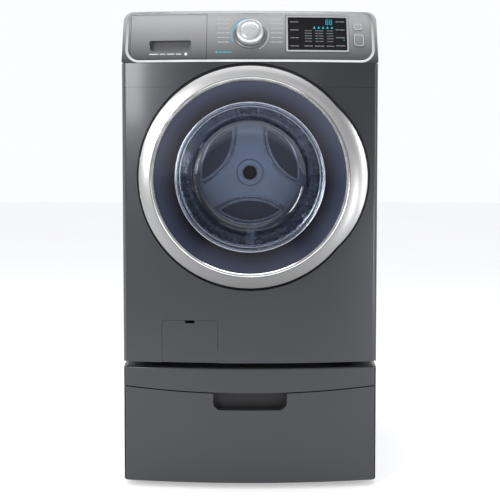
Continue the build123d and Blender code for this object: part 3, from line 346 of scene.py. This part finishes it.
def tinted_dish():
    """Deep blue glossy dish, with a painted highlight that makes it lighter towards its outer edge."""
    material, tree, shader = new_material("dish_blue", (0.02, 0.03, 0.07), 0.2, 0.1, Specular_IOR_Level=0.32)
    vector = object_place(tree, (1, 0, 1), (0, 0, door_z))
    length = tree.nodes.new("ShaderNodeVectorMath")
    length.operation = "LENGTH"
    tree.links.new(vector, length.inputs[0])
    low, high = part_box("door_dish")
    radius = (high.x - low.x) / 2
    spread = tree.nodes.new("ShaderNodeMapRange")
    spread.inputs["From Min"].default_value = radius * 0.78
    spread.inputs["From Max"].default_value = radius
    tree.links.new(length.outputs["Value"], spread.inputs["Value"])
    # painted highlight: the blue grows lighter from the middle of the dish towards its outer edge
    inner_blue, painted_highlight_blue = (0.003, 0.004, 0.009), (0.036, 0.045, 0.08)
    painted_light_base = blend_colors(tree, spread.outputs["Result"], inner_blue, painted_highlight_blue, 0.15, 1.0)
    tree.links.new(painted_light_base, shader.inputs["Base Color"])
    tree.links.new(vary(tree, noise(tree, vector, 40, 2), 0.17, 0.24), shader.inputs["Roughness"])
    return material


def clear_glass():
    """Clear bowl glass with a faint cool tint."""
    material, tree, shader = new_material(
        "bowl_glass", (0.78, 0.85, 0.97), 0.02, 0.0, Transmission_Weight=1.0, IOR=1.45
    )
    factor = noise(tree, object_place(tree), 14, 2)
    tree.links.new(vary(tree, factor, 0.0, 0.02), shader.inputs["Roughness"])
    return material


dish_blue = tinted_dish()
bowl_glass = clear_glass()

node_materials = {
    "control_console": console_silver, "dispenser_front": console_silver, "power_button": console_silver,
    "start_button": console_silver, "console_trim": chrome, "door_inner_trim": chrome,
    "dial_bezel": shaded_satin,
    "door_ring": ring_silver, "selector_knob": satin, "display_bezel": bezel_silver,
    "display_window": dark_gloss, "door_dish": dish_blue, "door_glass": bowl_glass,
    "drum_shell": stainless, "drum_baffles": stainless, "drum_back": drum_end,
    "control_boards": board_green, "counterweight": concrete, "door_gasket": grey_rubber,
    "drive_belt": black_rubber,
}
slot_materials = {
    "paint": paint, "zinc_steel": zinc, "cast_alloy": cast_alloy, "dark_plastic": dark_plastic,
    "light_plastic": light_plastic,
}
slot_of = {part["node"]: part["material_slot"] for part in frame["record"]["subparts"]}
for name, node in nodes.items():
    material = node_materials.get(name) or slot_materials[slot_of[name]]
    node.data.materials.clear()
    node.data.materials.append(material)


# ---- softened sheet and moulding edges ----
def soften(name, width):
    """Small bevel on the hard edges of a CAD node."""
    bevel = nodes[name].modifiers.new("edge", "BEVEL")
    bevel.width = width
    bevel.segments = 2
    bevel.limit_method = "ANGLE"
    bevel.angle_limit = math.radians(40)
    bevel.harden_normals = False


for name, width in (
    ("console_trim", 0.0012), ("display_bezel", 0.0006), ("door_inner_trim", 0.0008), ("top_cover", 0.0006),
):
    soften(name, width)


# ---- helpers for new pieces ----
def mesh_piece(name, vertices, faces, material, body, smooth=False):
    """Mesh object that rides on a body."""
    mesh = bpy.data.meshes.new(name)
    mesh.from_pydata([tuple(v) for v in vertices], [], faces)
    mesh.materials.append(material)
    mesh.polygons.foreach_set("use_smooth", [smooth] * len(mesh.polygons))
    piece = bpy.data.objects.new(name, mesh)
    scene.collection.objects.link(piece)
    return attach(piece, body)


surfaces = {}


def surface_point(node, x, z, lift=0.0003):
    """Point just proud of a CAD node's front face at this x and z."""
    if node not in surfaces:
        mesh = nodes[node].data
        surfaces[node] = BVHTree.FromPolygons(
            [v.co.copy() for v in mesh.vertices], [tuple(p.vertices) for p in mesh.polygons]
        )
    hit, _, _, _ = surfaces[node].ray_cast(Vector((x, cad_low.y - 0.5, z)), Vector((0, 1, 0)))
    if hit is None:
        raise ValueError(f"{node} has no face at {x:.3f}, {z:.3f}")
    return hit + Vector((0, -lift, lift * 0.45))


class Prints:
    """Flat marks printed on one node, gathered into one mesh."""

    def __init__(self, name, node, material, body, slot):
        self.name, self.node, self.material, self.body, self.slot = name, node, material, body, slot
        self.vertices, self.faces = [], []

    def outline(self, points):
        """Fan of faces inside a convex outline of (x, z) points."""
        start = len(self.vertices)
        self.vertices += [surface_point(self.node, x, z) for x, z in points]
        self.faces.append(tuple(range(start, start + len(points))))

    def dash(self, x, z, width, height):
        """Horizontal bar, split along its length so that it follows the bow."""
        steps = max(1, round(width / 0.012))
        for i in range(steps):
            left = x - width / 2 + width * i / steps
            right = left + width / steps
            low, high = z - height / 2, z + height / 2
            self.outline([(left, low), (right, low), (right, high), (left, high)])

    def words(self, x, z, width, height, pieces):
        """Row of short dashes that stands for a line of small print."""
        gap = width * 0.05
        length = (width - gap * (len(pieces) - 1)) / sum(pieces)
        left = x - width / 2
        for share in pieces:
            self.dash(left + share * length / 2, z, share * length, height)
            left += share * length + gap

    def dot(self, x, z, radius, sides=16):
        """Round dot."""
        self.outline([
            (x + radius * math.cos(2 * math.pi * i / sides), z + radius * math.sin(2 * math.pi * i / sides))
            for i in range(sides)
        ])

    def arc(self, x, z, radius, width, start, end, squash=0.92):
        """Band along an arc, in degrees anticlockwise from the right."""
        steps = max(4, round(abs(end - start) / 6))
        for i in range(steps):
            corners = []
            for angle, r in ((i, radius), (i + 1, radius), (i + 1, radius + width), (i, radius + width)):
                turn = math.radians(start + (end - start) * angle / steps)
                corners.append((x + r * math.cos(turn), z + r * math.sin(turn) * squash))
            self.outline(corners)

    def digit(self, x, z, width, height, segments):
        """Seven-segment digit centred on a place."""
        bar = width * 0.22
        w, h = width / 2, height / 2
        places = {
            "a": (0, h, width, bar), "g": (0, 0, width, bar), "d": (0, -h, width, bar),
            "b": (w, h / 2, bar, h), "c": (w, -h / 2, bar, h),
            "e": (-w, -h / 2, bar, h), "f": (-w, h / 2, bar, h),
        }
        for segment in segments:
            dx, dz, across, up = places[segment]
            self.dash(x + dx, z + dz, across * 0.86, up * (0.86 if up > bar else 1))

    def build(self):
        """Makes the piece."""
        return mesh_piece(self.name, self.vertices, self.faces, self.material, self.body)


# ---- prints on the console ----
knob_low, knob_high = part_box("selector_knob")
dial_x = (knob_low.x + knob_high.x) / 2
dial_z = (knob_low.z + knob_high.z) / 2 - 0.004
ROW_PITCH = 0.0128
LABEL_SPREAD = 0.071

white_marks = Prints("console_print", "control_console", pale_print, "cabinet", "console_paint")
for row in range(6):
    row_z = dial_z + ROW_PITCH * (3.4 - row)
    white_marks.words(dial_x - LABEL_SPREAD, row_z, 0.036 - 0.003 * (row % 3), 0.0021, (3, 2, 3))
    white_marks.words(dial_x + LABEL_SPREAD, row_z, 0.03 + 0.003 * (row % 2), 0.0021, (2, 3))
white_marks.arc(dial_x, dial_z, 0.0485, 0.0018, -60, 100)
white_marks.build()

teal_marks = Prints("console_teal", "control_console", teal_print, "cabinet", "console_paint")
teal_marks.arc(dial_x, dial_z, 0.0485, 0.0026, 100, 205)
teal_marks.dot(dial_x - 0.089, dial_z - 0.0485, 0.0028)
teal_marks.words(dial_x - 0.066, dial_z - 0.0485, 0.034, 0.0024, (2, 3, 2))
teal_marks.build()

drawer_low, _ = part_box("dispenser_front")
drawer_marks = Prints("drawer_print", "dispenser_front", white_print, "detergent_drawer", "console_paint")
DRAWER_X = -0.2135      # middle of the detergent drawer's pocket
drawer_marks.words(DRAWER_X - 0.012, drawer_low.z + 0.013, 0.086, 0.0026, (5, 3, 4, 3))
drawer_marks.dot(DRAWER_X + 0.043, drawer_low.z + 0.013, 0.0042)
drawer_marks.build()


# ---- display ----
window_low, window_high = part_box("display_window")
window_width = window_high.x - window_low.x
window_height = window_high.z - window_low.z


def on_window(across, up):
    """Place on the display window from fractions of its width and height."""
    return window_low.x + across * window_width, window_low.z + up * window_height


display_grey = Prints("display_labels", "display_window", grey_print, "cabinet", "dark_glass")
for up in (0.86, 0.61, 0.37, 0.12):
    x, z = on_window(0.11, up)
    display_grey.words(x, z, 0.022, 0.0022, (3, 2))
    x, z = on_window(0.89, up + 0.015)
    display_grey.words(x, z, 0.024, 0.0022, (2, 3))
for across, width in ((0.345, 0.019), (0.53, 0.022), (0.715, 0.017)):
    for up in (0.59, 0.51, 0.43, 0.35, 0.265):
        x, z = on_window(across, up)
        display_grey.words(x, z, width, 0.0016, (1, 1.4))
    x, z = on_window(across, 0.12)
    display_grey.words(x, z, width + 0.003, 0.0022, (2, 1))
display_grey.build()

display_teal = Prints("display_digits", "display_window", teal_print, "cabinet", "dark_glass")
for across in (0.665, 0.73):
    x, z = on_window(across, 0.855)
    display_teal.digit(x, z, 0.0058, 0.013, "abcdefg")
for index in range(5):
    x, z = on_window(0.45 + 0.075 * index, 0.69)
    display_teal.outline([(x - 0.0032, z - 0.003), (x + 0.0032, z - 0.003), (x, z + 0.0034)])
for across, up in ((0.3, 0.43), (0.48, 0.35), (0.665, 0.51), (0.95, 0.315)):
    x, z = on_window(across, up)
    display_teal.dot(x, z, 0.0013, 10)
display_teal.build()


# ---- button outlines ----
def button_ring(name, node, body):
    """Raised bright outline round the face of a push button."""
    low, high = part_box(node)
    middle_x = (low.x + high.x) / 2
    middle_z = low.z + (high.z - low.z) * 0.555
    half_width = (high.x - low.x) / 2 - 0.0032
    half_height = (high.z - low.z) * 0.43 - 0.0028
    corner = min(half_width, half_height) * 0.5
    marks = Prints(name, node, white_print, body, "console_paint")
    sides = 32
    band = 0.0011
    loops = []
    for grow in (0, -band):
        loop = []
        for i in range(sides):
            turn = 2 * math.pi * (i + 0.5) / sides
            x = math.cos(turn)
            z = math.sin(turn)
            loop.append((
                middle_x + math.copysign(abs(x) ** 0.45, x) * (half_width + grow),
                middle_z + math.copysign(abs(z) ** 0.45, z) * (half_height + grow),
            ))
        loops.append(loop)
    for i in range(sides):
        j = (i + 1) % sides
        marks.outline([loops[1][i], loops[1][j], loops[0][j], loops[0][i]])
    return marks.build()


button_ring("power_outline", "power_button", "power")
button_ring("start_outline", "start_button", "start")


# ---- turned pieces ----
def close_up(piece):
    """Joins doubled vertices and turns every face outward."""
    mesh = bmesh.new()
    mesh.from_mesh(piece.data)
    bmesh.ops.remove_doubles(mesh, verts=mesh.verts, dist=0.00002)
    bmesh.ops.recalc_face_normals(mesh, faces=mesh.faces)
    mesh.to_mesh(piece.data)
    mesh.free()


def spun_piece(name, profile, material, body, segments=160, smooth=True):
    """Closed (y, radius) profile turned round the door's axis."""
    count = len(profile)
    vertices, faces = [], []
    for i in range(segments):
        turn = 2 * math.pi * i / segments
        for y, r in profile:
            vertices.append((r * math.cos(turn), y, door_z + r * math.sin(turn)))
    for i in range(segments):
        j = (i + 1) % segments
        for k in range(count):
            n = (k + 1) % count
            faces.append((i * count + k, j * count + k, j * count + n, i * count + n))
    piece = mesh_piece(name, vertices, faces, material, body, smooth)
    close_up(piece)
    return piece


# ---- drum: perforated skin, mouth, hub cap and pressed leaves ----
LEAF_ANGLES = (-90, 30, 150)
LEAF_WIDE = 0.168        # circle round the hub that ends a leaf
LEAF_FAR = 0.177         # second circle of a leaf
LEAF_REACH = 0.254       # distance of its middle from the hub
PAN_INSET = 0.013


def perforated_skin(columns=72, rows=18):
    """Drum wall of cells with an eight-sided hole in each, bent round the drum's axis."""
    low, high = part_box("drum_shell")
    radius = (high.x - low.x) / 2 - 0.0006
    start_y, end_y = low.y + 0.012, high.y - 0.002
    ring = [(-1, -1), (0, -1), (1, -1), (1, 0), (1, 1), (0, 1), (-1, 1), (-1, 0)]
    hole = [(math.cos(math.radians(225 + 45 * k)), math.sin(math.radians(225 + 45 * k))) for k in range(8)]
    half_turn = math.pi / columns
    half_step = (end_y - start_y) / rows / 2
    hole_radius = 0.0022
    vertices, faces = [], []
    for column in range(columns):
        for row in range(rows):
            turn = 2 * half_turn * (column + 0.5)
            y = start_y + half_step * (2 * row + 1)
            start = len(vertices)
            for u, v in ring:
                a = turn + u * half_turn
                vertices.append((radius * math.cos(a), y + v * half_step, door_z + radius * math.sin(a)))
            for u, v in hole:
                a = turn + u * hole_radius / radius
                vertices.append((radius * math.cos(a), y + v * hole_radius, door_z + radius * math.sin(a)))
            for k in range(8):
                j = (k + 1) % 8
                faces.append((start + k, start + j, start + 8 + j, start + 8 + k))
    piece = mesh_piece("drum_skin", vertices, faces, stainless, "drum", smooth=True)
    close_up(piece)
    wall = piece.modifiers.new("wall", "SOLIDIFY")
    wall.thickness = 0.001
    wall.offset = 1
    return piece


def drum_mouth():
    """Rolled front of the drum."""
    low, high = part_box("drum_shell")
    radius = (high.x - low.x) / 2
    front = low.y
    profile = [
        (front + 0.013, radius), (front + 0.004, radius - 0.001), (front, radius - 0.006),
        (front, 0.196), (front + 0.002, 0.1915), (front + 0.006, 0.1903), (front + 0.01, 0.192),
        (front + 0.0095, 0.194), (front + 0.004, 0.1945), (front + 0.0015, 0.198),
        (front + 0.0015, radius - 0.0075), (front + 0.0045, radius - 0.0025),
        (front + 0.013, radius - 0.0015),
    ]
    return spun_piece("drum_mouth", profile, stainless, "drum")


def hub_cap():
    """Dark domed cap on the middle of the drum's back."""
    front = surface_point("drum_back", 0.001, door_z).y
    profile = [
        (front + 0.002, 0.0), (front + 0.002, 0.0235), (front - 0.001, 0.0232), (front - 0.0045, 0.0215),
        (front - 0.007, 0.017), (front - 0.0082, 0.01), (front - 0.0086, 0.0),
    ]
    return spun_piece("drum_hub_cap", profile, dark_plastic, "drum", 64)


def tube(points, radius, sides=10):
    """Vertices and faces of a closed round tube along a loop of points that faces the front."""
    count = len(points)
    vertices, faces = [], []
    for i, point in enumerate(points):
        along = (points[(i + 1) % count] - points[i - 1]).normalized()
        out = Vector((0, -1, 0))
        across = along.cross(out).normalized()
        for k in range(sides):
            turn = 2 * math.pi * k / sides
            vertices.append(point + (across * math.cos(turn) + out * math.sin(turn)) * radius)
    for i in range(count):
        j = (i + 1) % count
        for k in range(sides):
            n = (k + 1) % sides
            faces.append((i * sides + k, i * sides + n, j * sides + n, j * sides + k))
    return vertices, faces


def leaf_outline(angle, shrink):
    """Loop of (x, z) points round one pressed leaf of the drum's back, drawn in by shrink."""
    wide, far, reach = LEAF_WIDE - shrink, LEAF_FAR - shrink, LEAF_REACH
    meet = (wide ** 2 - far ** 2 + reach ** 2) / (2 * reach)
    first = math.acos(meet / wide)
    second = math.acos((reach - meet) / far)
    steps = 22
    loop = []
    for i in range(steps):
        turn = first * (2 * i / steps - 1)
        loop.append((wide * math.cos(turn), wide * math.sin(turn)))
    for i in range(steps):
        turn = second * (1 - 2 * i / steps)
        loop.append((reach - far * math.cos(turn), far * math.sin(turn)))
    cos, sin = math.cos(math.radians(angle)), math.sin(math.radians(angle))
    return [(x * cos - z * sin, x * sin + z * cos) for x, z in loop]


def leaf_beads():
    """Rolled beads along the pressed leaves of the drum's back; the beads are real relief, and their lighter
    steel is painted highlight.
    """
    vertices, faces = [], []
    for angle in LEAF_ANGLES:
        for shrink, radius in ((0.001, 0.0032), (PAN_INSET, 0.0016)):
            loop = [surface_point("drum_back", x, door_z + z, 0) for x, z in leaf_outline(angle, shrink)]
            new_vertices, new_faces = tube(loop, radius)
            faces += [tuple(len(vertices) + index for index in face) for face in new_faces]
            vertices += new_vertices
    return mesh_piece("leaf_beads", vertices, faces, bead_highlight_steel, "drum", smooth=True)


def leaf_shade_pans():
    """Darker panels of painted shade inside the pressed leaves."""
    vertices, faces = [], []
    for angle in LEAF_ANGLES:
        loop = leaf_outline(angle, PAN_INSET)
        start = len(vertices)
        middle_x = sum(x for x, _ in loop) / len(loop)
        middle_z = sum(z for _, z in loop) / len(loop)
        vertices.append(surface_point("drum_back", middle_x, door_z + middle_z, 0.0006))
        vertices += [surface_point("drum_back", x, door_z + z, 0.0006) for x, z in loop]
        faces += [(start, start + 1 + i, start + 1 + (i + 1) % len(loop)) for i in range(len(loop))]
    return mesh_piece("leaf_shade_pans", vertices, faces, leaf_shade_steel, "drum")


# ---- door: glass bowl, lines beside the lip and bowl rims ----
def smooth_bowl():
    """Glass bowl of the door with an even wall."""
    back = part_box("door_glass")[1].y
    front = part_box("door_glass")[0].y
    outside = [
        (back, 0.0), (back, 0.08), (back - 0.0002, 0.138), (back - 0.0015, 0.148), (back - 0.006, 0.157),
        (back - 0.013, 0.164), (back - 0.03, 0.1705), (back - 0.06, 0.1805), (back - 0.09, 0.1905),
        (front + 0.0045, 0.1975), (front + 0.003, 0.2025), (front + 0.003, 0.2148),
    ]
    inside = [
        (front, 0.2148), (front, 0.1995), (front + 0.0025, 0.1945), (front + 0.01, 0.1915),
        (back - 0.09, 0.1865), (back - 0.06, 0.1765), (back - 0.032, 0.1668), (back - 0.0165, 0.16),
        (back - 0.009, 0.153), (back - 0.0055, 0.144), (back - 0.0045, 0.135), (back - 0.0043, 0.08),
        (back - 0.0043, 0.0),
    ]
    bowl = spun_piece("glass_bowl", outside + inside, bowl_glass, "door", 200)
    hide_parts("door_glass")
    return bowl


def lip_shade_beads():
    """Dark lines of painted shade on both sides of the bright lip of the door ring, made as beads of black
    rubber.
    """
    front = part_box("door_inner_trim")[0].y
    for name, radius, depth in (("lip_shade_inner", 0.2535, 0.004), ("lip_shade_outer", 0.2642, 0.0016)):
        profile = [
            (front + depth + 0.0012 * math.cos(turn), radius + 0.0009 * math.sin(turn))
            for turn in (math.pi * k / 4 for k in range(8))
        ]
        spun_piece(name, profile, black_rubber, "door", 160)


def bowl_rims():
    """Bright rolled edges of the dish at the mouth of the bowl."""
    _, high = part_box("door_dish")
    rims = (("bowl_rim", 0.2, high.y - 0.0035, 0.0022), ("bowl_step", 0.1895, high.y + 0.008, 0.0011))
    for name, radius, y, thick in rims:
        profile = [
            (y + thick * math.cos(turn), radius + thick * math.sin(turn))
            for turn in (math.pi * k / 5 for k in range(10))
        ]
        spun_piece(name, profile, rim_steel, "door", 160)


leaf_beads()
leaf_shade_pans()
smooth_bowl()
lip_shade_beads()
bowl_rims()
hub_cap()
skin = perforated_skin()
drum_mouth()
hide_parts("drum_shell")


# ---- door seal: rounded bellows between the front panel and the tub ----
def gasket_bellows():
    """Folded rubber seal between the cabinet and the floating tub."""
    low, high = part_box("door_gasket")
    outer = (high.x - low.x) / 2
    centre_line = [
        (low.y + 0.002, outer - 0.026), (low.y + 0.0015, outer - 0.012), (low.y + 0.003, outer - 0.003),
        (low.y + 0.012, outer - 0.002), (low.y + 0.025, outer - 0.003), (low.y + 0.029, outer - 0.009),
        (low.y + 0.036, outer - 0.016), (low.y + 0.044, outer - 0.014), (low.y + 0.047, outer - 0.006),
        (low.y + 0.053, outer - 0.002), (low.y + 0.06, outer - 0.004), (low.y + 0.063, outer - 0.014),
        (high.y, outer - 0.021),
    ]
    half = 0.0016
    front, back = [], []
    for i, (y, r) in enumerate(centre_line):
        y0, r0 = centre_line[max(0, i - 1)]
        y1, r1 = centre_line[min(len(centre_line) - 1, i + 1)]
        length = math.hypot(y1 - y0, r1 - r0)
        dy, dr = (r1 - r0) / length * half, -(y1 - y0) / length * half
        front.append((y + dy, r + dr))
        back.append((y - dy, r - dr))
    seal = spun_piece("door_seal", front + back[::-1], grey_rubber, "cabinet", 96)
    smooth = seal.modifiers.new("round", "SUBSURF")
    smooth.levels = 1
    smooth.render_levels = 1
    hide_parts("door_gasket")
    return seal


gasket_bellows()


# ---- painted shade in the pedestal drawer's grip ----
def grip_shade():
    """Dark panel of painted shade on the back wall of the grip, with its two lower corners rounded."""
    half, bottom, top, corner = 0.0985, 0.2156, 0.2585, 0.0215
    outline = [(-half, top)]
    for side, first in ((-1, 180), (1, 270)):
        for step in range(9):
            turn = math.radians(first + 90 * step / 8)
            outline.append((
                side * (half - corner) + corner * math.cos(turn), bottom + corner + corner * math.sin(turn)
            ))
    outline.append((half, top))
    marks = Prints("grip_shade", "drawer_front", grip_painted_shade, "storage_drawer", "paint")
    marks.outline(outline)
    return marks.build()


grip_shade()


# ---- floor ----
def floor():
    """Pale floor under the object."""
    mesh = bpy.data.meshes.new("floor")
    half = 14
    corners = [(-half, -half, 0), (half, -half, 0), (half, half, 0), (-half, half, 0)]
    mesh.from_pydata(corners, [], [(0, 1, 2, 3)])
    piece = bpy.data.objects.new("floor", mesh)
    scene.collection.objects.link(piece)
    material, tree, shader = new_material("pale_floor", (0.8, 0.8, 0.8), 0.8, Emission_Strength=0.4)
    slow = noise(tree, object_place(tree), 0.6, 2)
    shader.inputs["Emission Color"].default_value = (1, 1, 1, 1)
    tree.links.new(
        blend_colors(tree, slow, (0.84, 0.845, 0.85), (0.87, 0.875, 0.88)), shader.inputs["Base Color"]
    )
    mesh.materials.append(material)


floor()
